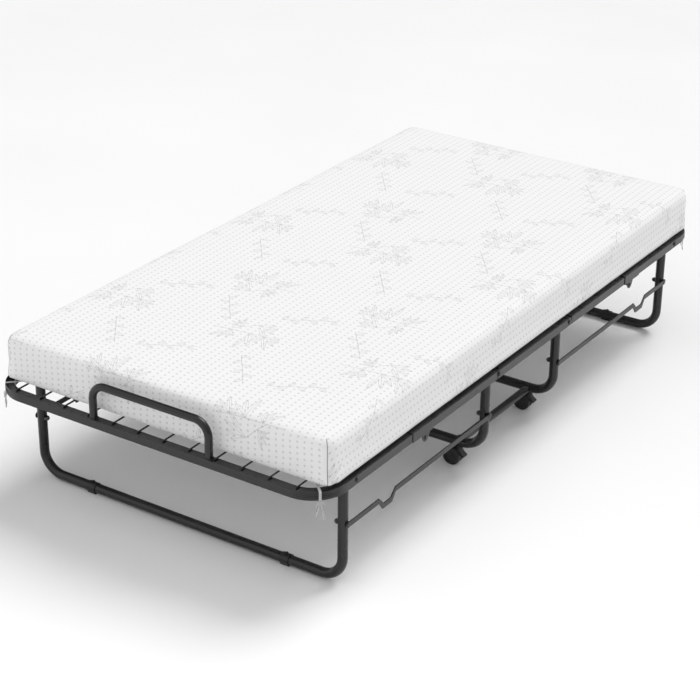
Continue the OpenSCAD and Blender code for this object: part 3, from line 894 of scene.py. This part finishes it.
def make_corner_seams(block, finish):
    """The piping that closes the cover at each corner, found by looking inwards from outside it."""
    bpy.context.view_layer.update()
    for end, way in ENDS.items():
        parts = []
        y = MATTRESS_FRONT if way < 0 else MATTRESS_REAR
        for side in SIDES.values():
            inwards = Vector((-side, -way, 0)).normalized()
            line = []
            corner_x, corner_y = side * (MATTRESS_HALF_W - SEAM_AIM), y - way * SEAM_AIM
            for z in np.linspace(MATTRESS_LOW + SEAM_FROM_LOW, MATTRESS_HIGH - SEAM_FROM_TOP, SEAM_STEPS):
                start = Vector((corner_x, corner_y, z)) - inwards * SEAM_BACK_OFF
                hit, found, _, _ = block.ray_cast(start, inwards)
                if hit:
                    line.append(found + inwards * SEAM_SUNK)
            parts.append(sweep(line, oval(SEAM_THICK, SEAM_THICK, 6), (side, way, 0.2)))
        swept_piece(f"corner_seams_{end}", parts, finish, f"{end}_half")


def make_mattress(finish, seam_finish):
    """The block, blown up and settled, then cut at the middle into two covers."""
    block = rounded_block()
    apply_modifier(block, "REMESH", mode="VOXEL", voxel_size=VOXEL)
    inflate(block)
    apply_modifier(block, "SUBSURF", levels=1)
    settle(block.data)
    for end, way in ENDS.items():
        half = half_of(block, end)
        unfold_cloth(half.data)
        half.data.materials.append(finish)
        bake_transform(half)
        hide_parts(f"mattress_{end}")
        if end == "front":
            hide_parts("mattress_middle")
    make_corner_seams(block, seam_finish)
    bpy.data.objects.remove(block)


# ---- marks of making on the frame ----

def weld_ring(centre, axis, across, radius, bead, steps=48):
    """A weld bead round a tube, with the ripples of its runs."""
    axis, across = Vector(axis), Vector(across)
    line = arc(centre, across, axis.cross(across), radius, 0, 360, steps)[:-1]
    sizes = [1 + BEAD_RIPPLE * math.sin(i * 2 * math.pi / 4) for i in range(steps)]
    return sweep(line, oval(bead * 2, bead * 2, 8), axis, closed=True, sizes=sizes)


def make_welds(finish):
    """Weld beads at the handle's feet and at the caster tubes' ends."""
    foot = [weld_ring((x, -RAIL_END + RAIL_SIDE / 2, RAIL_TOP + 0.0004), (0, 0, 1), (1, 0, 0),
                      HANDLE_R + 0.0006, BEAD) for x in (-HANDLE_X, HANDLE_X)]
    swept_piece("handle_welds", foot, finish, "front_half")
    rings = []
    for x in (-CASTER_X, CASTER_X):
        for way in (-1, 1):
            centre = (x, way * (FOLD_Y - LEG_R + 0.0012), BAR_Z)
            rings.append(weld_ring(centre, (0, way, 0), (1, 0, 0), CASTER_TUBE_R + 0.0005, BEAD))
    swept_piece("caster_tube_welds", rings, finish, "base")


def make_bend_creases(finish):
    """Shallow ridges that the tube's outer wall takes where it is bent round each corner."""
    for end, way in ENDS.items():
        parts = []
        for side in SIDES.values():
            centre = (side * (RAIL_OUT - CORNER_R), way * (RAIL_END - CORNER_R), 0)
            for up in CREASE_HEIGHTS:
                line = arc(centre, (side, 0, 0), (0, way, 0), CORNER_R - 0.0004, 6, 84, CREASE_STEPS)
                line = [p + Vector((0, 0, RAIL_MID_Z + up)) for p in line]
                shares = [i / CREASE_STEPS for i in range(CREASE_STEPS + 1)]
                sizes = [math.sin(math.pi * share) ** 0.5 + 0.02 for share in shares]
                parts.append(sweep(line, oval(*CREASE_SECTION), (0, 0, 1), sizes=sizes))
        swept_piece(f"bend_creases_{end}", parts, finish, f"{end}_half")


# ---- the CAD nodes' finishes ----

def paint_nodes(finishes):
    """Gives every CAD node that stays the finish of its own kind."""
    kinds = {
        "frame": ("centre_leg", "end_leg_front", "end_leg_rear", "rail_", "middle_rail", "caster_tube",
                  "handle_hoop", "lock_bracket"),
        "link": ("link_",),
        "wire": ("deck_wires", "middle_deck_wires"),
        "bolt": ("centre_bolts", "end_leg_bolts"),
        "nut": ("centre_nuts", "end_leg_nuts"),
        "plastic": ("foot_clip", "caster_fork"),
        "wheel": ("caster_wheels",),
    }
    for name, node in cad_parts.items():
        for kind, starts in kinds.items():
            if name.startswith(starts):
                node.data.materials.clear()
                node.data.materials.append(finishes[kind])


make_camera()
# The ties' white tape, with painted shade in its grey colour.
tape_painted_shade = tape_cotton_painted_shade()
make_tails(tape_painted_shade)
make_studio()
make_floor()
frame_finish = powder_coat("frame_steel", 0.0050, 0.030, 0.27)
finishes = {
    "frame": frame_finish,
    "link": powder_coat("link_steel", 0.0060, 0.035, 0.31),
    "wire": powder_coat("wire_steel", 0.0045, 0.020, 0.33),
    "bolt": powder_coat("bolt_steel", 0.0080, 0.060, 0.28),
    "nut": bare_nut_steel(),
    "plastic": moulded_plastic("black_plastic", 0.007, 0.36),
    "wheel": wheel_plastic(),
}
paint_nodes(finishes)
make_mattress(cover_knit(), seam_thread())
for end_name in ENDS:
    for side_name in SIDES:
        make_tie(end_name, side_name, tape_painted_shade)
make_welds(frame_finish)
make_bend_creases(frame_finish)
